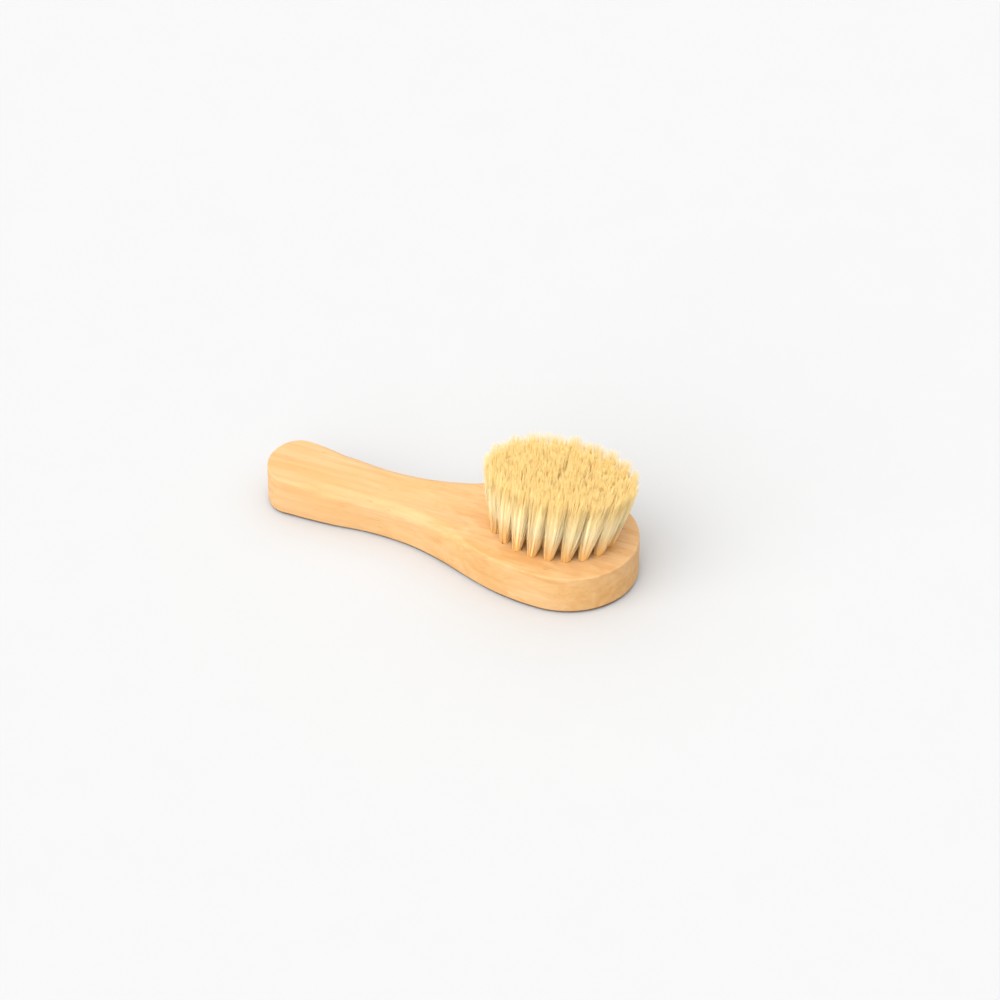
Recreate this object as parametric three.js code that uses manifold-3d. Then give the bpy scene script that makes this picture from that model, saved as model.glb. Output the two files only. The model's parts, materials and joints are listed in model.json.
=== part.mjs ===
// A wooden bee brush: a flat paddle of pale hardwood, 140 mm long, with an oval head filled with
// tufts of natural bristle. It lies on its back with the tufts up.
//
// The handle and head are one piece of wood. Blind holes are drilled into the head in three oval
// rings. Each hole holds one tuft: a bundle of bristles folded in half over a flat metal anchor,
// which is driven to the bottom of the hole and bites into its walls.
//
// Units are millimetres. +X runs from the handle to the head and +Z points up, out of the bristles.
// The origin is in the middle of the underside. The part is symmetric about the plane y = 0.

import * as THREE from "three";
import { mergeVertices } from "three/addons/utils/BufferGeometryUtils.js";
import Module from "manifold-3d";

// ---------- driving dimensions: the wood ----------
const LENGTH = 140;
const THICKNESS = 16;
const HANDLE_WIDTH = 24; // widest, near the handle's end
const NECK_WIDTH = 20.4;
const HEAD_WIDTH = 49.6;
const HANDLE_END_LENGTH = 10.2; // the length of the rounded end
const NECK_AT = 45.7; // from the handle's end
const HEAD_WIDEST_AT = 113.1; // from the handle's end
const HANDLE_END_ROUND = [0.37, 0.73]; // how full the rounded end is at its tip and its sides
const HANDLE_SWEEP = [0.78, 0.43]; // how long each side curve stays straight at its two ends,
const HEAD_SWEEP = [0.43, 0.42]; //   as shares of the curve's length
const LOWER_EDGE_RADIUS = 1.7;
const FACE_EDGE_RADIUS = 0.45; // round the head's face and the top of the handle's end
const GRIP_EDGE_RADIUS = 4.2; // the softened upper edges of the handle
const GRIP_EDGE_FROM = 6; // where the softening starts and ends, from the handle's end
const GRIP_EDGE_TO = 93;

// ---------- driving dimensions: the bristle ----------
const BRISTLE_HEIGHT = 29; // above the head's face, where the tips are trimmed flat
const RING_CENTRE = 108.5; // from the handle's end
const OUTER_RING = [21.4, 15.2]; // half length and half width
const RING_STEP = 5.9; // from one ring to the next
const RINGS = [
  { name: "outer", tufts: 19 },
  { name: "middle", tufts: 13 },
  { name: "inner", tufts: 6 },
];
const FAN = [1.14, 0.95]; // how much wider the field is at the tips, along X and along Y
const LEAN = 3.8; // how far the tips stand towards the head's end
const HOLE_RADIUS = 1.85;
const HOLE_DEPTH = 9;
const ROOT_RADIUS = 1.55;
const FLARE_RADIUS = 2.4; // a third of the way up
const TIP_RADIUS = 2.6;
const ROOT_CLEARANCE = 0.3; // under the fold
const TRIM_ALLOWANCE = 4; // how much longer the bundles are before they are trimmed

// ---------- driving dimensions: the anchor, a small flat plate ----------
const ANCHOR_WIDTH = 4.2; // wider than the hole, so that it bites
const ANCHOR_THICKNESS = 0.5;
const ANCHOR_HEIGHT = 1.5;
const ANCHOR_ABOVE_FOLD = 0.8;
const ANCHOR_CLEARANCE = 0.3;

// ---------- fineness of the curves ----------
const CURVE_STEPS = 14; // along each stretch of the outline
const EDGE_STEPS = 5; // round each rounded edge
const HOLE_SIDES = 12;

const wasm = await Module();
wasm.setup();

// ---------- solids ----------

function toSolid(geometry) {
  const bare = geometry.clone();
  bare.deleteAttribute("normal");
  bare.deleteAttribute("uv");
  const merged = mergeVertices(bare, 1e-4);
  return new wasm.Manifold(
    new wasm.Mesh({
      numProp: 3,
      vertProperties: new Float32Array(merged.attributes.position.array),
      triVerts: new Uint32Array(merged.index.array),
    }),
  );
}

function toGeometry(solid) {
  const mesh = solid.getMesh();
  const geometry = new THREE.BufferGeometry();
  geometry.setAttribute("position", new THREE.BufferAttribute(mesh.vertProperties, 3));
  geometry.setIndex(new THREE.BufferAttribute(mesh.triVerts, 1));
  const faceted = geometry.toNonIndexed();
  faceted.computeVertexNormals();
  return faceted;
}

function subtractAll(solid, cutters) {
  return cutters.reduce((left, cutter) => left.subtract(cutter), solid);
}

// ---------- the wood ----------

const handleEnd = -LENGTH / 2;
const fromEnd = (distance) => handleEnd + distance;

// One side of the plan outline, from the handle's end round to the head's end.
function outlinePath() {
  const gripX = fromEnd(HANDLE_END_LENGTH);
  const neckX = fromEnd(NECK_AT);
  const headX = fromEnd(HEAD_WIDEST_AT);
  const [grip, neck, head] = [HANDLE_WIDTH / 2, NECK_WIDTH / 2, HEAD_WIDTH / 2];
  const handleRun = neckX - gripX;
  const headRun = headX - neckX;
  const [tipFullness, sideFullness] = HANDLE_END_ROUND;
  const side = new THREE.Path();
  side.moveTo(handleEnd, 0);
  side.bezierCurveTo(
    handleEnd, tipFullness * grip,
    gripX - sideFullness * HANDLE_END_LENGTH, grip,
    gripX, grip,
  );
  side.bezierCurveTo(
    gripX + HANDLE_SWEEP[0] * handleRun, grip,
    neckX - HANDLE_SWEEP[1] * handleRun, neck,
    neckX, neck,
  );
  side.bezierCurveTo(
    neckX + HEAD_SWEEP[0] * headRun, neck,
    headX - HEAD_SWEEP[1] * headRun, head,
    headX, head,
  );
  side.absellipse(headX, 0, LENGTH / 2 - headX, head, Math.PI / 2, 0, true);
  return side;
}

// The closed outline, anticlockwise seen from above.
function outlinePoints() {
  const upper = outlinePath().getPoints(CURVE_STEPS);
  const distinct = upper.filter((p, i) => i === 0 || p.distanceTo(upper[i - 1]) > 1e-6);
  const lower = distinct.slice(1, -1).map((p) => new THREE.Vector2(p.x, -p.y));
  return [...lower, ...distinct.reverse()];
}

// The upper edge is soft along the handle and tighter round the head and the handle's end.
function upperEdgeRadius(x) {
  const along = (x - fromEnd(GRIP_EDGE_FROM)) / (GRIP_EDGE_TO - GRIP_EDGE_FROM);
  const inside = THREE.MathUtils.clamp(along, 0, 1);
  const swell = Math.min(1, 1.6 * Math.sin(Math.PI * inside)) ** 2;
  return FACE_EDGE_RADIUS + (GRIP_EDGE_RADIUS - FACE_EDGE_RADIUS) * swell;
}

// A loft of rings: each is the outline drawn in and raised round the lower and the upper edge.
function blankGeometry() {
  const outline = outlinePoints();
  const count = outline.length;
  const inward = outline.map((_, i) => {
    const next = outline[(i + 1) % count];
    const tangent = next.clone().sub(outline[(i + count - 1) % count]).normalize();
    return new THREE.Vector2(-tangent.y, tangent.x);
  });
  const rings = [];
  for (let step = 0; step <= EDGE_STEPS; step++) {
    const turn = (step / EDGE_STEPS) * (Math.PI / 2);
    const inset = LOWER_EDGE_RADIUS * (1 - Math.sin(turn));
    const height = LOWER_EDGE_RADIUS * (1 - Math.cos(turn));
    rings.push(() => [inset, height]);
  }
  for (let step = 0; step <= EDGE_STEPS; step++) {
    const turn = (step / EDGE_STEPS) * (Math.PI / 2);
    rings.push((x) => {
      const radius = upperEdgeRadius(x);
      return [radius * (1 - Math.cos(turn)), THICKNESS - radius * (1 - Math.sin(turn))];
    });
  }
  const positions = [];
  for (const ring of rings) {
    outline.forEach((p, i) => {
      const [inset, z] = ring(p.x);
      positions.push(p.x + inward[i].x * inset, p.y + inward[i].y * inset, z);
    });
  }
  const faces = [];
  for (let ring = 0; ring < rings.length - 1; ring++) {
    for (let i = 0; i < count; i++) {
      const a = ring * count + i;
      const b = ring * count + ((i + 1) % count);
      faces.push(a, b, b + count, a, b + count, a + count);
    }
  }
  const flat = (ring) =>
    outline.map((_, i) => {
      const at = 3 * (ring * count + i);
      return new THREE.Vector2(positions[at], positions[at + 1]);
    });
  const top = rings.length - 1;
  for (const [a, b, c] of THREE.ShapeUtils.triangulateShape(flat(0), [])) {
    faces.push(c, b, a);
  }
  for (const [a, b, c] of THREE.ShapeUtils.triangulateShape(flat(top), [])) {
    faces.push(top * count + a, top * count + b, top * count + c);
  }
  const geometry = new THREE.BufferGeometry();
  geometry.setAttribute("position", new THREE.Float32BufferAttribute(positions, 3));
  geometry.setIndex(faces);
  return geometry;
}

// ---------- the tufts ----------

// Where each tuft stands: its foot on the face, and the direction in which it leaves the hole.
function tuftPlaces() {
  const centre = fromEnd(RING_CENTRE);
  return RINGS.flatMap(({ name, tufts }, ring) => {
    const halfLength = OUTER_RING[0] - ring * RING_STEP;
    const halfWidth = OUTER_RING[1] - ring * RING_STEP;
    const oval = new THREE.EllipseCurve(0, 0, halfLength, halfWidth);
    oval.arcLengthDivisions = 720;
    return oval.getSpacedPoints(tufts).slice(0, tufts).map((p, i) => {
      const foot = new THREE.Vector3(centre + p.x, p.y, THICKNESS);
      const tip = new THREE.Vector3(
        centre + LEAN + p.x * FAN[0],
        p.y * FAN[1],
        THICKNESS + BRISTLE_HEIGHT,
      );
      const number = String(i + 1).padStart(2, "0");
      return { ring: name, label: `${name}_${number}`, foot, direction: tip.sub(foot).normalize() };
    });
  });
}

// Turns and moves a shape whose own +Z runs along the tuft, with its zero at the tuft's foot.
function atTuft(place) {
  const across = new THREE.Vector3(0, 1, 0);
  const z = place.direction;
  const x = across.clone().cross(z).normalize();
  const y = z.clone().cross(x);
  return new THREE.Matrix4().makeBasis(x, y, z).setPosition(place.foot);
}

// A round solid about +Z from [radius, height] pairs.
function turned(profile) {
  const bottom = profile[0][1];
  const top = profile[profile.length - 1][1];
  const points = [[0, bottom], ...profile, [0, top]].map(([r, z]) => new THREE.Vector2(r, z));
  return new THREE.LatheGeometry(points, HOLE_SIDES).rotateX(Math.PI / 2);
}

function holeGeometry() {
  const mouthClearance = 3;
  return turned([[HOLE_RADIUS, -HOLE_DEPTH], [HOLE_RADIUS, mouthClearance]]);
}

// The bundle: a straight root with a rounded fold, then a flare. It is longer than the trim.
function bundleGeometry() {
  const fold = -HOLE_DEPTH + ROOT_CLEARANCE;
  return turned([
    [ROOT_RADIUS * 0.55, fold],
    [ROOT_RADIUS, fold + 0.7],
    [ROOT_RADIUS, 0.6],
    [FLARE_RADIUS, BRISTLE_HEIGHT / 3],
    [TIP_RADIUS, BRISTLE_HEIGHT + TRIM_ALLOWANCE],
  ]);
}

// Everything above the height at which the tips are trimmed.
function trimmings() {
  const size = 2 * LENGTH;
  const box = new THREE.BoxGeometry(size, size, size);
  return toSolid(box.translate(0, 0, THICKNESS + BRISTLE_HEIGHT + size / 2));
}

function anchorBox(clearance) {
  const middle = -HOLE_DEPTH + ROOT_CLEARANCE + ANCHOR_ABOVE_FOLD + ANCHOR_HEIGHT / 2;
  return new THREE.BoxGeometry(
    ANCHOR_THICKNESS + 2 * clearance,
    ANCHOR_WIDTH + 2 * clearance,
    ANCHOR_HEIGHT + 2 * clearance,
  ).translate(0, 0, middle);
}

// ---------- the assembly ----------

const wood = new THREE.MeshStandardMaterial({ color: 0xeec28a, roughness: 0.55, metalness: 0 });
const bristle = new THREE.MeshStandardMaterial({ color: 0xf0d9a0, roughness: 0.6, metalness: 0 });
const steel = new THREE.MeshStandardMaterial({ color: 0xb8b8b4, roughness: 0.35, metalness: 1 });

const brush = new THREE.Group();

function addPiece(name, solid, material) {
  const mesh = new THREE.Mesh(toGeometry(solid), material);
  mesh.name = name;
  brush.add(mesh);
}

const places = tuftPlaces();
const hole = holeGeometry();
const bundle = bundleGeometry();
const trimmed = trimmings();
const anchor = anchorBox(0);
const anchorRoom = anchorBox(ANCHOR_CLEARANCE);
const placed = (geometry, place) => toSolid(geometry.clone().applyMatrix4(atTuft(place)));

const drilling = places.flatMap((place) => [placed(hole, place), placed(anchorRoom, place)]);
addPiece("wooden_handle", subtractAll(toSolid(blankGeometry()), drilling), wood);

for (const place of places) {
  const cutters = [placed(anchorRoom, place), trimmed];
  addPiece(`tuft_${place.label}`, subtractAll(placed(bundle, place), cutters), bristle);
}

// The outer ring's anchors. The inner rings have the same ones.
for (const place of places.filter((p) => p.ring === "outer")) {
  addPiece(`anchor_${place.label}`, placed(anchor, place), steel);
}

export default brush;
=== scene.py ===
"""A wooden bee brush with natural bristles, lying on its back on a pale floor."""

import json
import math

import bmesh
import bpy
import numpy as np
from mathutils import Matrix, Vector
from mathutils.geometry import interpolate_bezier


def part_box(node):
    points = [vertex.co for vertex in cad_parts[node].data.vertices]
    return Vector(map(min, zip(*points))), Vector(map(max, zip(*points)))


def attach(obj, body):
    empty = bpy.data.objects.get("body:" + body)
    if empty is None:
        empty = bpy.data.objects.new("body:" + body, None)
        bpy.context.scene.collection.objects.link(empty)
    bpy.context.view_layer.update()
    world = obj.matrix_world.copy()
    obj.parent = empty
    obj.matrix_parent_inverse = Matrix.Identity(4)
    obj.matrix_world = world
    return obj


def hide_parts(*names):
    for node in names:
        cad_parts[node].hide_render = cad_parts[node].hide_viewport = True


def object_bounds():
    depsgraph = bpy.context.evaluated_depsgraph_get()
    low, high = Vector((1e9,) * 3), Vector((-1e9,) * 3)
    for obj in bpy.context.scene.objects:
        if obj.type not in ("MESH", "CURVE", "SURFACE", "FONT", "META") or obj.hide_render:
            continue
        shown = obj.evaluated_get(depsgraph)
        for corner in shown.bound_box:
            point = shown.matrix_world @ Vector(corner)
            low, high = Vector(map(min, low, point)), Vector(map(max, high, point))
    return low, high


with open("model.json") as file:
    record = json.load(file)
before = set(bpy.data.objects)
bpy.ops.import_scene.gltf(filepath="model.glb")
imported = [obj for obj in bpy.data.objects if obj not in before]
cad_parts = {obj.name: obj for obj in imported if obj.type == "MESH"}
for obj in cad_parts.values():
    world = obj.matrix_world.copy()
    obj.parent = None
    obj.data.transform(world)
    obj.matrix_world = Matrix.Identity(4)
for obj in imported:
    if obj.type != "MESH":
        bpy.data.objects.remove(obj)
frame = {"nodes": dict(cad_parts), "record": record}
cad_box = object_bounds()

MM = 0.001
rng = np.random.default_rng(20240611)

# ---------- the shape of the wood, as in the CAD model ----------

wood_low, wood_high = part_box("wooden_handle")
THICKNESS = wood_high.z - wood_low.z
HANDLE_HALF_WIDTH = 12 * MM
NECK_HALF_WIDTH = 10.2 * MM
HEAD_HALF_WIDTH = (wood_high.y - wood_low.y) / 2
HANDLE_END_LENGTH = 10.2 * MM
NECK_AT = 45.7 * MM
HEAD_WIDEST_AT = 113.1 * MM
HANDLE_END_ROUND = (0.37, 0.73)
HANDLE_SWEEP = (0.78, 0.43)
HEAD_SWEEP = (0.43, 0.42)
CURVE_POINTS = 60  # along each stretch of the outline
LOWER_EDGE_RADIUS = 1.7 * MM
FACE_EDGE_RADIUS = 0.45 * MM
GRIP_EDGE_RADIUS = 4.2 * MM
GRIP_EDGE_FROM = 6 * MM
GRIP_EDGE_TO = 93 * MM
GRIP_EDGE_FULLNESS = 1.6  # more keeps the grip's full radius over more of its length
EDGE_POINTS = 11  # round each rounded edge
FLAT_MARGIN = 0.15 * MM  # the narrow flat band inside each rounded edge
FACE = wood_high.z

# ---------- the tufts ----------

HOLE_RADIUS = 1.7 * MM
HOLE_DEPTH = 9 * MM
HOLE_SIDES = 24
DRILL_PROUD = 2 * MM  # how far the cutter stands above the face
FOLD_BAND = 0.45 * MM  # what is this near a bundle's lowest point is its fold
TRIM_BAND = 0.01 * MM  # what is this near its highest point is its trimmed end
BUNDLE_RADIUS = 1.6 * MM  # where it leaves the hole
STRANDS = 170  # in a tuft; each is folded, so it shows as two bristles
STRAND_RADIUS = 0.085 * MM
CROWDING = 0.4  # 0.5 spreads the strands evenly; less puts more of them outside
STRAND_VARIATION = (0.75, 1.15)  # the thinnest and the thickest, as shares of STRAND_RADIUS
STRAND_LEVELS = (0.0, 0.1, 0.24, 0.42, 0.62, 0.82, 1.0)  # where a leg bends, as shares of its length
TIP_TAPER = 0.45
FLARE_GAIN = 1.42  # a bundle is this much wider at the tips, and widens fastest at its foot
FLARE_POWER = 1.7
WANDER = 0.6 * MM  # how far a tip strays from its place
STRAY_SHARE = 0.04  # this share of the strands stray further
STRAY_EXTRA = 0.6  # by this much more
BEND = 0.22 * MM  # how far the middle of a leg bows out
TIP_CLUMPS = 9  # the tips of a tuft gather in a few loose clumps
CLUMP_REACH = 0.85  # how far out a clump may be, as a share of the bundle's radius
CLUMP_PULL = 0.16  # how far towards its clump a tip is drawn
LENGTH_SPREAD = 0.3 * MM
CLUMP_LENGTH_SPREAD = 0.4 * MM
SHORT_SHARE = 0.2  # bristles that were missed by the trim or are broken short
SHORT_BY = (0.5, 5)  # millimetres
LONG_SHARE = 0.06
LONG_BY = (0.4, 2.2)  # millimetres
LONGEST_OVER_TRIM = 1.1 * MM
LOCKS = 14  # the close-packed heart of each tuft is made of these
LOCK_RADIUS = 0.33  # as shares of the bundle's radius
LOCK_SPREAD = 0.62
LOCK_HEIGHT = (0.88, 0.99)  # as shares of the tuft's height
LOCK_TAPER_FROM = 0.6
LOCK_TAPER = 0.94  # how much of its thickness a lock has lost at its tip
LOCK_FLARE_SHARE = 0.95  # a lock flares as the bundle does at this share of its height
LOCK_SWAY = 0.25 * MM
LOCK_RIDGES = 3
LOCK_RIDGE_HEIGHT = 0.1
LOCK_SIDES = 9
LOCK_LEVELS = 12
LOCK_BURIED = 1.0 * MM  # how far down the hole a lock starts
GOLDEN_TURN = math.radians(137.5)
ANCHOR_HALF_THICKNESS = 0.25 * MM
ANCHOR_HALF_WIDTH = 2.1 * MM
ANCHOR_HEIGHT = 1.5 * MM
ANCHOR_BOTTOM = 7.9 * MM  # below the face
ANCHOR_BEVEL = 0.08 * MM
FOLD_BOTTOM = 8.6 * MM
FOLD_ROUNDING = 0.12 * MM  # how much higher the fold's shoulders are than its bottom
BURIED_DEPTHS = (3 * MM, 6 * MM, 7.5 * MM)  # where a leg bends below the face
HOLE_SQUEEZE = 0.98  # how narrow the bundle is at the first of these depths
ANCHOR_SQUEEZE = 0.86  # and along the anchor
LEG_GAP = 0.05 * MM  # how near the plane between its two legs a strand may stand
LEG_SHIFT = 0.2 * MM  # how far the second leg shifts along the anchor

# ---------- general helpers ----------


def link(obj):
    bpy.context.scene.collection.objects.link(obj)
    return obj


def new_mesh(name, points, faces, smooth=True):
    mesh = bpy.data.meshes.new(name)
    mesh.from_pydata(points, [], faces)
    mesh.validate()
    mesh.polygons.foreach_set("use_smooth", [smooth] * len(mesh.polygons))
    return mesh


def ease(t):
    t = np.clip(t, 0, 1)
    return t * t * (3 - 2 * t)


# ---------- node helpers ----------


class Shader:
    """A small wrapper for building a Principled material out of nodes."""

    def __init__(self, name):
        self.material = bpy.data.materials.new(name)
        self.material.use_nodes = True
        self.tree = self.material.node_tree
        self.surface = self.tree.nodes["Principled BSDF"]

    def node(self, kind, inputs=(), **settings):
        made = self.tree.nodes.new(kind)
        for key, value in settings.items():
            setattr(made, key, value)
        for key, value in dict(inputs).items():
            self.feed(made.inputs[key], value)
        return made

    def feed(self, socket, value):
        if isinstance(value, bpy.types.NodeSocket):
            self.tree.links.new(value, socket)
        else:
            socket.default_value = value

    def set(self, name, value):
        self.feed(self.surface.inputs[name], value)

    def place(self, size, turn=(0, 0, 0), shift=(0, 0, 0)):
        """Object coordinates, scaled so that one unit is one feature of this size in millimetres."""
        where = self.node("ShaderNodeTexCoord").outputs["Object"]
        scale = [1 / MM / length for length in size]
        inputs = {"Vector": where, "Scale": scale, "Rotation": turn, "Location": shift}
        return self.node("ShaderNodeMapping", inputs).outputs["Vector"]

    def noise(self, vector, detail=3, roughness=0.5, distortion=0):
        inputs = {"Vector": vector, "Scale": 1, "Detail": detail}
        inputs.update({"Roughness": roughness, "Distortion": distortion})
        return self.node("ShaderNodeTexNoise", inputs).outputs["Fac"]

    def ramp(self, value, low, high, out_low=0, out_high=1):
        """Runs from out_low to out_high while value runs from low to high, and stops there."""
        inputs = {"Value": value, "From Min": low, "From Max": high}
        inputs.update({"To Min": out_low, "To Max": out_high})
        return self.node("ShaderNodeMapRange", inputs, clamp=True).outputs["Result"]

    def mix(self, share, a, b):
        """Colour a with this share of colour b over it."""
        made = self.node("ShaderNodeMix", data_type="RGBA")
        self.feed(made.inputs["Factor"], share)
        self.feed(made.inputs["A"], a)
        self.feed(made.inputs["B"], b)
        return made.outputs["Result"]

    def math(self, operation, a, b=0.0, c=0.0):
        made = self.node("ShaderNodeMath", operation=operation)
        for socket, value in zip(made.inputs, (a, b, c)):
            self.feed(socket, value)
        return made.outputs["Value"]

    def bump(self, height, distance, strength):
        inputs = {"Height": height, "Distance": distance, "Strength": strength}
        return self.node("ShaderNodeBump", inputs).outputs["Normal"]


def colour(r, g, b):
    return (r, g, b, 1)


# ---------- materials ----------


MILLIMETRE = (1, 1, 1)  # the size of feature that makes one unit a millimetre

# the figure of the wood, in millimetres and turns
RING_SPACING = 5.2
RING_WARP = 16.0
PITH_OFFSET = (0, 9, 46)
PITH_TURN = (0, math.radians(3.0), math.radians(-2.0))
CURL_TURN = (0, math.radians(38), math.radians(24))
HEAD_FIGURE_FROM = -45.0
HEAD_FIGURE_TO = 10.0
# the painted contact shadow along the lower edge, where the wood meets the floor
CONTACT_SHADE_PATCHINESS = 1.1
CONTACT_SHADE_TOP = (0.45, 0.9)  # where the painted shade on the lower edge fades out, before patches raise it
CONTACT_SHADE_BOTTOM = (0.02, 0.1)  # the flat underside gets no painted shade


def wood_material():
    s = Shader("pale_wood")
    # growth rings round a pith that lies well below the board, slightly out of line with it
    warp = s.noise(s.place((70, 22, 22)), detail=2)
    rings_at = s.place(MILLIMETRE, turn=PITH_TURN, shift=PITH_OFFSET)
    split = s.node("ShaderNodeSeparateXYZ", {"Vector": rings_at})
    y2 = s.math("MULTIPLY", split.outputs["Y"], split.outputs["Y"])
    z2 = s.math("MULTIPLY", split.outputs["Z"], split.outputs["Z"])
    radius = s.math("SQRT", s.math("ADD", y2, z2))
    warped = s.math("MULTIPLY_ADD", warp, RING_WARP, radius)
    wave = s.math("SINE", s.math("MULTIPLY", warped, 2 * math.pi / RING_SPACING))
    ring = s.ramp(wave, -0.2, 1.0)
    # long fibres, and broad drifts of tone along the board
    fibre = s.noise(s.place((26, 0.55, 0.55)), detail=4, roughness=0.62)
    streak = s.noise(s.place((60, 2.2, 2.2)), detail=3, roughness=0.55)
    drift = s.noise(s.place((55, 16, 16)), detail=2)
    # short dark rays and pores, longer than wide
    fleck_cells = s.noise(s.place((4.2, 0.42, 0.42)), detail=1, roughness=0.4)
    fleck_where = s.noise(s.place((17, 5, 5)), detail=1)
    fleck = s.math("MULTIPLY", s.ramp(fleck_cells, 0.67, 0.77), s.ramp(fleck_where, 0.53, 0.64))
    normal = s.node("ShaderNodeNewGeometry").outputs["Normal"]
    facing = s.node("ShaderNodeSeparateXYZ", {"Vector": normal})
    end_grain = s.math("ABSOLUTE", facing.outputs["X"])
    fleck = s.math("MULTIPLY", fleck, s.ramp(end_grain, 0.35, 0.7, 1, 0))
    # curly figure in the broad part of the head, where the grain swirls
    here = s.node("ShaderNodeSeparateXYZ", {"Vector": s.place(MILLIMETRE)})
    in_head = s.ramp(here.outputs["X"], HEAD_FIGURE_FROM, HEAD_FIGURE_TO, 0.2, 1)
    curl = s.noise(s.place((11, 3.6, 3.6), turn=CURL_TURN), detail=4, distortion=0.9)
    # painted contact shadow: the rounded lower arris is darkened, more in some places than in others
    patchy = s.noise(s.place((24, 24, 24)), detail=2)
    height_up = s.math("MULTIPLY_ADD", patchy, -CONTACT_SHADE_PATCHINESS, here.outputs["Z"])
    off_the_floor = s.ramp(here.outputs["Z"], *CONTACT_SHADE_BOTTOM)
    arris = s.math("MULTIPLY", off_the_floor, s.ramp(height_up, *CONTACT_SHADE_TOP, 1, 0))

    light = colour(0.71, 0.445, 0.22)
    mid = colour(0.685, 0.395, 0.155)
    dark = colour(0.60, 0.30, 0.10)
    pale_figure = colour(0.77, 0.53, 0.27)
    ray_brown = colour(0.28, 0.13, 0.05)
    painted_contact_shade = colour(0.075, 0.028, 0.010)
    base = s.mix(s.ramp(drift, 0.35, 0.65), light, mid)
    base = s.mix(s.math("MULTIPLY", ring, 0.15), base, dark)
    base = s.mix(s.ramp(streak, 0.45, 0.75, 0, 0.6), base, dark)
    base = s.mix(s.ramp(fibre, 0.5, 0.8, 0, 0.4), base, dark)
    curly = s.math("MULTIPLY", s.ramp(curl, 0.5, 0.72), in_head)
    base = s.mix(s.math("MULTIPLY", curly, 0.5), base, dark)
    pale_curl = s.math("MULTIPLY", s.ramp(curl, 0.5, 0.3), in_head)
    base = s.mix(s.math("MULTIPLY", pale_curl, 0.4), base, pale_figure)
    base = s.mix(s.math("MULTIPLY", fleck, 0.65), base, ray_brown)
    # painted contact shadow over the lower arris
    base = s.mix(s.math("MULTIPLY", arris, 0.85), base, painted_contact_shade)
    s.set("Base Color", base)
    s.set("Roughness", s.ramp(fibre, 0.3, 0.7, 0.6, 0.72))
    s.set("Specular IOR Level", 0.22)
    height = s.math("MULTIPLY_ADD", fleck, -0.5, fibre)
    s.set("Normal", s.bump(height, 0.06 * MM, 0.5))
    return s.material


def bristle_material():
    s = Shader("natural_bristle")
    island = s.node("ShaderNodeNewGeometry").outputs["Random Per Island"]
    where = s.node("ShaderNodeSeparateXYZ", {"Vector": s.place(MILLIMETRE)})
    up = s.ramp(where.outputs["Z"], FACE / MM, cad_box[1].z / MM)
    mottle = s.noise(s.place((1.6, 1.6, 7)), detail=3)
    pale = colour(1.0, 0.88, 0.57)
    golden = colour(1.0, 0.79, 0.37)
    amber = colour(1.0, 0.62, 0.21)
    # painted shade: golden towards the trimmed tips, for the shade among the tips
    base = s.mix(s.ramp(up, 0.45, 0.85), pale, golden)
    # painted shade: amber towards the foot, for the warm shade between the tufts near the face
    base = s.mix(s.ramp(up, 0.02, 0.42, 1, 0), base, amber)
    base = s.mix(s.ramp(island, 0.6, 1.0, 0, 0.4), base, amber)
    base = s.mix(s.ramp(mottle, 0.45, 0.7, 0, 0.25), base, golden)
    s.set("Base Color", base)
    s.set("Roughness", s.ramp(island, 0, 1, 0.38, 0.6))
    s.set("Specular IOR Level", 0.2)
    ridges = s.noise(s.place((0.05, 0.05, 0.6)), detail=1)
    s.set("Normal", s.bump(ridges, 0.01 * MM, 0.4))
    return s.material


def anchor_material():
    s = Shader("galvanised_strip")
    spangle = s.noise(s.place((0.5, 0.5, 0.5)), detail=3)
    drawn = s.noise(s.place((0.06, 1.5, 0.06)), detail=2)
    bright = colour(0.62, 0.62, 0.6)
    dull = colour(0.45, 0.45, 0.44)
    base = s.mix(s.ramp(spangle, 0.35, 0.65), bright, dull)
    s.set("Base Color", base)
    s.set("Metallic", 1.0)
    s.set("Roughness", s.ramp(spangle, 0.3, 0.7, 0.28, 0.46))
    s.set("Normal", s.bump(drawn, 0.01 * MM, 0.3))
    return s.material


def floor_material():
    s = Shader("pale_floor")
    grain = s.noise(s.place((25, 25, 25)), detail=2)
    s.set("Base Color", s.mix(grain, colour(0.58, 0.58, 0.58), colour(0.59, 0.59, 0.59)))
    s.set("Roughness", 0.9)
    s.set("Specular IOR Level", 0.1)
    return s.material


# ---------- the wood ----------


def outline():
    """The plan outline as an N by 2 array, anticlockwise from the handle's end, closed."""
    start = wood_low.x
    end = Vector((start, 0, 0))
    grip = Vector((start + HANDLE_END_LENGTH, HANDLE_HALF_WIDTH, 0))
    neck = Vector((start + NECK_AT, NECK_HALF_WIDTH, 0))
    head = Vector((start + HEAD_WIDEST_AT, HEAD_HALF_WIDTH, 0))
    along = Vector((1, 0, 0))
    up_end = Vector((0, HANDLE_END_ROUND[0] * HANDLE_HALF_WIDTH, 0))
    end_run = HANDLE_END_ROUND[1] * HANDLE_END_LENGTH * along
    handle_run = (neck.x - grip.x) * along
    head_run = (head.x - neck.x) * along
    side = []
    curves = (
        (end, end + up_end, grip - end_run, grip),
        (grip, grip + HANDLE_SWEEP[0] * handle_run, neck - HANDLE_SWEEP[1] * handle_run, neck),
        (neck, neck + HEAD_SWEEP[0] * head_run, head - HEAD_SWEEP[1] * head_run, head),
    )
    for curve in curves:
        side.extend(p.xy[:] for p in interpolate_bezier(*curve, CURVE_POINTS)[:-1])
    for turn in np.linspace(math.pi / 2, 0, CURVE_POINTS):
        x = head.x + (wood_high.x - head.x) * math.cos(turn)
        side.append((x, HEAD_HALF_WIDTH * math.sin(turn)))
    side = np.array(side)
    lower = side[1:-1] * (1, -1)
    return np.vstack([side[::-1], lower])


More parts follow.
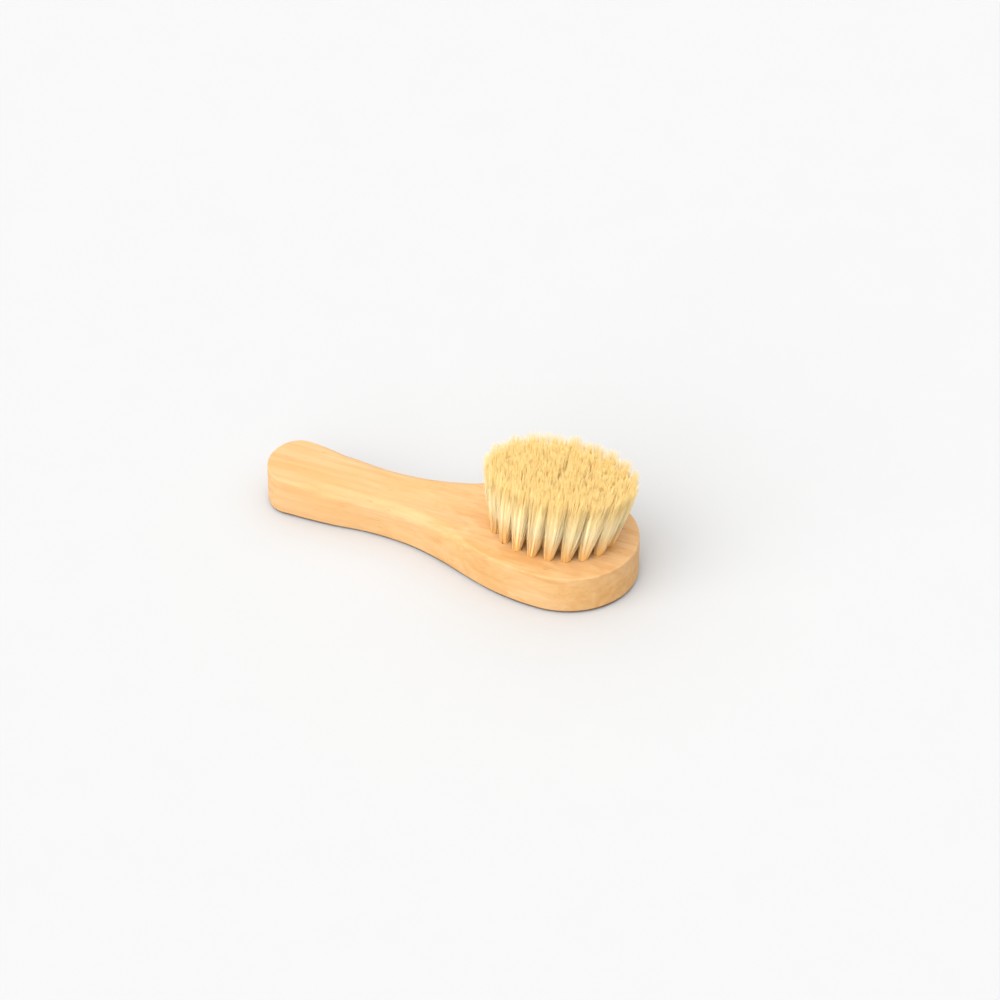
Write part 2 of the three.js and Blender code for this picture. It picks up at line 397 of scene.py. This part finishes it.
def upper_edge_radius(x):
    """The upper edge is soft along the handle and tighter round the head and the handle's end."""
    along = np.clip((x - wood_low.x - GRIP_EDGE_FROM) / (GRIP_EDGE_TO - GRIP_EDGE_FROM), 0, 1)
    swell = np.minimum(1, GRIP_EDGE_FULLNESS * np.sin(math.pi * along)) ** 2
    return FACE_EDGE_RADIUS + (GRIP_EDGE_RADIUS - FACE_EDGE_RADIUS) * swell


def blank_mesh():
    """The paddle before drilling: rings of the outline, drawn in round both edges."""
    plan = outline()
    count = len(plan)
    tangent = np.roll(plan, -1, axis=0) - np.roll(plan, 1, axis=0)
    tangent /= np.linalg.norm(tangent, axis=1)[:, None]
    inward = np.stack([-tangent[:, 1], tangent[:, 0]], axis=1)
    upper = upper_edge_radius(plan[:, 0])
    turns = np.linspace(0, math.pi / 2, EDGE_POINTS)
    rings = [(np.full(count, LOWER_EDGE_RADIUS + FLAT_MARGIN), np.zeros(count))]
    for turn in turns:
        inset = LOWER_EDGE_RADIUS * (1 - math.sin(turn))
        height = LOWER_EDGE_RADIUS * (1 - math.cos(turn))
        rings.append((np.full(count, inset), np.full(count, height)))
    for turn in turns:
        rings.append((upper * (1 - math.cos(turn)), THICKNESS - upper * (1 - math.sin(turn))))
    rings.append((upper + FLAT_MARGIN, np.full(count, THICKNESS)))
    points = []
    for inset, height in rings:
        flat = plan + inward * inset[:, None]
        points.append(np.column_stack([flat, wood_low.z + height]))
    points = np.vstack(points)
    faces = []
    for ring in range(len(rings) - 1):
        for i in range(count):
            a = ring * count + i
            b = ring * count + (i + 1) % count
            faces.append((a, b, b + count, a + count))
    faces.append(tuple(reversed(range(count))))
    faces.append(tuple(range((len(rings) - 1) * count, len(rings) * count)))
    return new_mesh("wood_blank", points, faces)


class Tuft:
    """Where one tuft stands, read from its CAD node: its foot, its axis and its trimmed tip."""

    def __init__(self, node):
        self.node = node
        obj = frame["nodes"][node]
        count = len(obj.data.vertices)
        points = np.empty(3 * count)
        obj.data.vertices.foreach_get("co", points)
        points = points.reshape(count, 3)
        at_fold = points[points[:, 2] < points[:, 2].min() + FOLD_BAND]
        low = (at_fold.min(axis=0) + at_fold.max(axis=0)) / 2
        at_top = points[points[:, 2] > points[:, 2].max() - TRIM_BAND]
        high = (at_top.min(axis=0) + at_top.max(axis=0)) / 2
        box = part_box(node)
        self.axis = Vector(high - low).normalized()
        self.tip = Vector(high)
        self.foot = self.tip + self.axis * ((FACE - self.tip.z) / self.axis.z)
        self.height = box[1].z - FACE
        self.across = Vector((0, 1, 0)).cross(self.axis).normalized()
        self.along_anchor = self.axis.cross(self.across)

    def length_to_trim(self, across):
        """How far up the axis the level trim is, at each offset across the tuft."""
        return (self.height - across @ np.array([self.across.z, self.along_anchor.z])) / self.axis.z

    def matrix(self):
        turn = Matrix((self.across, self.along_anchor, self.axis)).transposed().to_4x4()
        return Matrix.Translation(self.foot) @ turn


def drill(blank, tufts):
    """Cuts one blind hole for each tuft into the blank."""
    cutter = bmesh.new()
    span = HOLE_DEPTH + DRILL_PROUD
    middle = Matrix.Translation((0, 0, DRILL_PROUD / 2 - HOLE_DEPTH / 2))
    for tuft in tufts:
        bmesh.ops.create_cone(
            cutter, cap_ends=True, segments=HOLE_SIDES, depth=span, matrix=tuft.matrix() @ middle,
            radius1=HOLE_RADIUS, radius2=HOLE_RADIUS,
        )
    drills = bpy.data.meshes.new("drills")
    cutter.to_mesh(drills)
    cutter.free()
    tool = link(bpy.data.objects.new("drills", drills))
    cut = blank.modifiers.new("holes", "BOOLEAN")
    cut.operation = "DIFFERENCE"
    cut.solver = "EXACT"
    cut.object = tool
    settled = blank.evaluated_get(bpy.context.evaluated_depsgraph_get())
    drilled = bpy.data.meshes.new_from_object(settled)
    blank.modifiers.clear()
    blank.data = drilled
    bpy.data.objects.remove(tool)


def make_wood(tufts, material):
    wood = link(bpy.data.objects.new("wood_paddle", blank_mesh()))
    drill(wood, tufts)
    wood.data.materials.clear()
    wood.data.materials.append(material)
    wood.data.polygons.foreach_set("use_smooth", [True] * len(wood.data.polygons))
    wood.data.set_sharp_from_angle(angle=math.radians(40))
    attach(wood, "root")
    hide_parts("wooden_handle")


# ---------- the bristles ----------


def flare_at(share_up):
    """How much wider a bundle is than its foot, at a share of its height."""
    return 1 + FLARE_GAIN * (1 - (1 - share_up) ** FLARE_POWER)


def leg_points(tuft, spot, heights):
    """One leg of every strand above the face, as an array [strand, level, xyz] in the tuft's frame.

    spot is where each leg leaves the hole, in the disc of the bundle."""
    count = len(spot)
    clumps = rng.uniform(-1, 1, (TIP_CLUMPS, 2))
    clumps *= CLUMP_REACH / np.maximum(CLUMP_REACH, np.linalg.norm(clumps, axis=1))[:, None]
    share = spot / BUNDLE_RADIUS
    nearest = np.argmin(np.linalg.norm(share[:, None] - clumps[None], axis=2), axis=1)
    wander = rng.normal(0, 1, (count, 2))
    bend = rng.normal(0, 1, (count, 2))
    stray = (rng.random(count) < STRAY_SHARE)[:, None]

    def across_at(share_up):
        flare = flare_at(share_up)
        pull = CLUMP_PULL * share_up**2
        flat = spot * flare * (1 - pull) + clumps[nearest] * BUNDLE_RADIUS * flare * pull
        flat = flat + wander * WANDER * share_up * (1 + STRAY_EXTRA * stray)
        return flat + bend * BEND * math.sin(math.pi * share_up)

    trim = tuft.length_to_trim(across_at(1.0))
    length = trim + rng.normal(0, LENGTH_SPREAD, count)
    length = length + rng.normal(0, CLUMP_LENGTH_SPREAD, TIP_CLUMPS)[nearest]
    short = rng.random(count) < SHORT_SHARE
    length -= short * rng.uniform(*SHORT_BY, count) * MM
    long = rng.random(count) < LONG_SHARE
    length += long * rng.uniform(*LONG_BY, count) * MM
    length = np.minimum(length, trim + LONGEST_OVER_TRIM)
    points = np.empty((count, len(heights), 3))
    for level, share_up in enumerate(heights):
        points[:, level, :2] = across_at(share_up)
        points[:, level, 2] = length * share_up
    return points


def strand_paths(tuft):
    """Every folded strand of a tuft, from tip to tip, as [strand, point, xyz] and radii."""
    heights = np.array(STRAND_LEVELS)
    radius = BUNDLE_RADIUS * rng.random(STRANDS) ** CROWDING
    turn = rng.uniform(-math.pi / 2, math.pi / 2, STRANDS)
    spot = np.stack([radius * np.cos(turn), radius * np.sin(turn)], axis=1)
    spot[:, 0] = np.maximum(spot[:, 0], LEG_GAP)
    mirror = spot * (-1, 1)
    mirror[:, 1] += rng.normal(0, LEG_SHIFT, STRANDS)
    too_far = np.linalg.norm(mirror, axis=1) / BUNDLE_RADIUS
    mirror /= np.maximum(1, too_far)[:, None]
    first = leg_points(tuft, spot, heights)
    second = leg_points(tuft, mirror, heights)

    def squeezed(flat):
        """The bundle parts a little round the anchor."""
        out = flat.copy()
        clear = ANCHOR_HALF_THICKNESS + STRAND_RADIUS
        room = 1 - clear / BUNDLE_RADIUS
        out[:, 0] = np.sign(flat[:, 0]) * (clear + np.abs(flat[:, 0]) * room)
        out[:, 1] *= ANCHOR_SQUEEZE
        return out

    def at(flat, depth):
        return np.column_stack([flat, np.broadcast_to(-depth, len(flat))])[:, None]

    nest = np.abs(spot[:, 0]) / BUNDLE_RADIUS
    bottom = ANCHOR_BOTTOM + STRAND_RADIUS + (FOLD_BOTTOM - ANCHOR_BOTTOM - STRAND_RADIUS) * nest
    down, up = squeezed(spot), squeezed(mirror)
    middle = (down + up) / 2
    shallow, deeper, deepest = BURIED_DEPTHS
    buried = [
        at(spot * HOLE_SQUEEZE, shallow),
        at(down, deeper),
        at(down, deepest),
        at((middle + down) / 2, bottom - FOLD_ROUNDING),
        at(middle, bottom),
        at((middle + up) / 2, bottom - FOLD_ROUNDING),
        at(up, deepest),
        at(up, deeper),
        at(mirror * HOLE_SQUEEZE, shallow),
    ]
    paths = np.concatenate([first[:, ::-1], *buried, second], axis=1)
    taper = 1 - (1 - TIP_TAPER) * heights**2
    radii = np.concatenate([taper[::-1], np.ones(len(buried)), taper]) * STRAND_RADIUS
    return paths, radii


def tubes(paths, radii):
    """Three-sided closed tubes round many paths of equal length: points and faces."""
    strands, levels, _ = paths.shape
    tangent = np.gradient(paths, axis=1)
    tangent /= np.linalg.norm(tangent, axis=2)[..., None]
    guide = np.array([0.0, 1.0, 0.0])
    side = np.cross(tangent, guide)
    side /= np.linalg.norm(side, axis=2)[..., None]
    other = np.cross(tangent, side)
    thick = radii[None, :] * rng.uniform(*STRAND_VARIATION, (strands, 1))
    corners = []
    for corner in range(3):
        turn = 2 * math.pi * corner / 3
        reach = math.cos(turn) * side + math.sin(turn) * other
        corners.append(paths + reach * thick[..., None])
    points = np.stack(corners, axis=2).reshape(-1, 3)
    first = (np.arange(strands) * levels * 3)[:, None, None]
    ring = (np.arange(levels - 1) * 3)[None, :, None]
    corner = np.arange(3)[None, None, :]
    after = (corner + 1) % 3
    quads = np.stack(
        [first + ring + corner, first + ring + after, first + ring + 3 + after, first + ring + 3 + corner],
        axis=3,
    ).reshape(-1, 4)
    start = (np.arange(strands) * levels * 3)[:, None]
    end = start + (levels - 1) * 3
    caps = np.vstack([start + np.array([2, 1, 0]), end + np.array([0, 1, 2])])
    return points, quads.tolist() + caps.tolist()


def locks(tuft):
    """The close-packed heart of a tuft: tapering locks of bristle, pointed at the top, as points
    and faces."""
    turn = np.arange(LOCKS) * GOLDEN_TURN + rng.uniform(0, 2 * math.pi)
    out = LOCK_SPREAD * BUNDLE_RADIUS * np.sqrt((np.arange(LOCKS) + 0.5) / LOCKS)
    centres = np.stack([out * np.cos(turn), out * np.sin(turn)], axis=1)
    reach = rng.uniform(*LOCK_HEIGHT, LOCKS) * tuft.length_to_trim(centres * flare_at(1.0))
    sway = rng.normal(0, LOCK_SWAY, (LOCKS, 2))
    corners = np.linspace(0, 2 * math.pi, LOCK_SIDES, endpoint=False)
    ridges = 1 + LOCK_RIDGE_HEIGHT * np.sin(LOCK_RIDGES * corners)
    rows = []
    for level in np.linspace(-LOCK_BURIED / tuft.height, 1, LOCK_LEVELS):
        share_up = max(0, level)
        flare = flare_at(share_up * LOCK_FLARE_SHARE)
        taper = 1 - LOCK_TAPER * ease((share_up - LOCK_TAPER_FROM) / (1 - LOCK_TAPER_FROM))
        radius = LOCK_RADIUS * BUNDLE_RADIUS * flare * taper * ridges
        ring = np.empty((LOCKS, LOCK_SIDES, 3))
        middle = centres * flare + sway * share_up
        ring[:, :, 0] = middle[:, :1] + radius * np.cos(corners)
        ring[:, :, 1] = middle[:, 1:] + radius * np.sin(corners)
        ring[:, :, 2] = (reach * level)[:, None]
        rows.append(ring)
    points = np.stack(rows, axis=1).reshape(-1, 3)
    faces = []
    for lock in range(LOCKS):
        start = lock * LOCK_LEVELS * LOCK_SIDES
        for level in range(LOCK_LEVELS - 1):
            low = start + level * LOCK_SIDES
            for i in range(LOCK_SIDES):
                a, b = low + i, low + (i + 1) % LOCK_SIDES
                faces.append((a, b, b + LOCK_SIDES, a + LOCK_SIDES))
        faces.append(tuple(reversed(range(start, start + LOCK_SIDES))))
        top = start + (LOCK_LEVELS - 1) * LOCK_SIDES
        faces.append(tuple(range(top, top + LOCK_SIDES)))
    return points, faces


def make_tuft(tuft, material):
    paths, radii = strand_paths(tuft)
    points, faces = tubes(paths, radii)
    lock_points, lock_faces = locks(tuft)
    faces += [tuple(len(points) + i for i in face) for face in lock_faces]
    points = np.vstack([points, lock_points])
    turn = np.array(tuft.matrix())
    points = points @ turn[:3, :3].T + turn[:3, 3]
    mesh = new_mesh(tuft.node.replace("tuft", "bristles"), points, faces)
    mesh.materials.append(material)
    piece = link(bpy.data.objects.new(mesh.name, mesh))
    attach(piece, "root")
    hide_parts(tuft.node)


# ---------- the anchors ----------


def make_inner_anchor(tuft, material):
    """The same flat anchor as the outer ring's, softened at its cut edges."""
    low = Vector((-ANCHOR_HALF_THICKNESS, -ANCHOR_HALF_WIDTH, -ANCHOR_BOTTOM))
    high = Vector((ANCHOR_HALF_THICKNESS, ANCHOR_HALF_WIDTH, ANCHOR_HEIGHT - ANCHOR_BOTTOM))
    shape = bmesh.new()
    size = Matrix.Diagonal((*(high - low), 1))
    place = tuft.matrix() @ Matrix.Translation((low + high) / 2) @ size
    bmesh.ops.create_cube(shape, size=1, matrix=place)
    edges = shape.edges[:]
    bmesh.ops.bevel(shape, geom=edges, offset=ANCHOR_BEVEL, segments=2, affect="EDGES")
    name = tuft.node.replace("tuft", "anchor")
    mesh = bpy.data.meshes.new(name)
    shape.to_mesh(mesh)
    shape.free()
    mesh.materials.append(material)
    piece = link(bpy.data.objects.new(name, mesh))
    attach(piece, "root")


# ---------- the stage ----------

FLOOR_REACH = 6.0  # metres
HORIZON = 0.94  # how bright the surroundings are, low down and overhead
ROOM = 0.40
HORIZON_BAND = (0.1, 0.3)  # where the one fades into the other; straight up is 1
LAMP_DISTANCE = 2.0  # metres; it has no effect on a sun lamp's light


def make_floor():
    far = FLOOR_REACH
    corners = [(-far, -far, 0), (far, -far, 0), (far, far, 0), (-far, far, 0)]
    mesh = new_mesh("floor", corners, [(0, 1, 2, 3)], smooth=False)
    mesh.materials.append(floor_material())
    floor = link(bpy.data.objects.new("floor", mesh))
    floor.location.z = cad_box[0].z


VIEW_AZIMUTH = math.radians(22.2)
VIEW_ELEVATION = math.radians(40.7)
VIEW_DISTANCE = 1.739
VIEW_LENS = 175.6
SENSOR_WIDTH = 36  # millimetres, as the lens
AIM_RIGHT = 17.4 * MM
AIM_UP = 12.9 * MM
NEAREST_SEEN = 0.05  # metres
FURTHEST_SEEN = 50


def make_camera():
    flat = math.cos(VIEW_ELEVATION)
    forward = Vector((
        -math.sin(VIEW_AZIMUTH) * flat,
        math.cos(VIEW_AZIMUTH) * flat,
        -math.sin(VIEW_ELEVATION),
    ))
    right = forward.cross(Vector((0, 0, 1))).normalized()
    up = right.cross(forward)
    lens = bpy.data.cameras.new("camera")
    lens.lens = VIEW_LENS
    lens.sensor_width = SENSOR_WIDTH
    lens.clip_start = NEAREST_SEEN
    lens.clip_end = FURTHEST_SEEN
    camera = link(bpy.data.objects.new("camera", lens))
    aim = AIM_RIGHT * right + AIM_UP * up
    camera.location = aim - forward * VIEW_DISTANCE
    camera.rotation_euler = forward.to_track_quat("-Z", "Y").to_euler()
    bpy.context.scene.camera = camera
    return right, forward


def make_light(name, towards, level_share, softness):
    """A far, soft lamp that gives level_share of full white on a level white surface.

    softness is how wide the lamp looks, in degrees."""
    towards = Vector(towards).normalized()
    lamp = bpy.data.lights.new(name, "SUN")
    lamp.energy = math.pi * level_share / towards.z
    lamp.angle = math.radians(softness)
    obj = link(bpy.data.objects.new(name, lamp))
    obj.location = towards * LAMP_DISTANCE
    obj.rotation_euler = towards.to_track_quat("Z", "Y").to_euler()


def make_world():
    """A dim room above, and a pale horizon that runs on from the floor."""
    world = bpy.data.worlds.new("studio")
    world.use_nodes = True
    tree = world.node_tree
    where = tree.nodes.new("ShaderNodeTexCoord")
    split = tree.nodes.new("ShaderNodeSeparateXYZ")
    level = tree.nodes.new("ShaderNodeMapRange")
    tree.links.new(where.outputs["Generated"], split.inputs["Vector"])
    tree.links.new(split.outputs["Z"], level.inputs["Value"])
    level.inputs["From Min"].default_value = HORIZON_BAND[0]
    level.inputs["From Max"].default_value = HORIZON_BAND[1]
    level.inputs["To Min"].default_value = HORIZON
    level.inputs["To Max"].default_value = ROOM
    tree.links.new(level.outputs["Result"], tree.nodes["Background"].inputs["Strength"])
    tree.nodes["Background"].inputs["Color"].default_value = colour(1, 1, 1)
    bpy.context.scene.world = world


def make_lights(right, forward):
    level = Vector((forward.x, forward.y, 0)).normalized()
    up = Vector((0, 0, 1))
    make_light("key", -0.7 * right - 0.8 * level + 0.85 * up, level_share=0.54, softness=75)
    make_light("overhead", 0.15 * level + up, level_share=0.66, softness=110)
    make_world()
    bpy.context.scene.view_settings.view_transform = "Standard"


# ---------- assembly ----------

camera_right, camera_forward = make_camera()
make_floor()
make_lights(camera_right, camera_forward)

nodes = frame["record"]["subparts"]
tufts = [Tuft(entry["node"]) for entry in nodes if entry["node"].startswith("tuft_")]

wood_look = wood_material()
bristle_look = bristle_material()
anchor_look = anchor_material()

make_wood(tufts, wood_look)
for each in tufts:
    make_tuft(each, bristle_look)

for each in tufts:
    if "outer" in each.node:
        held = frame["nodes"][each.node.replace("tuft", "anchor")]
        held.data.materials.clear()
        held.data.materials.append(anchor_look)
    else:
        make_inner_anchor(each, anchor_look)
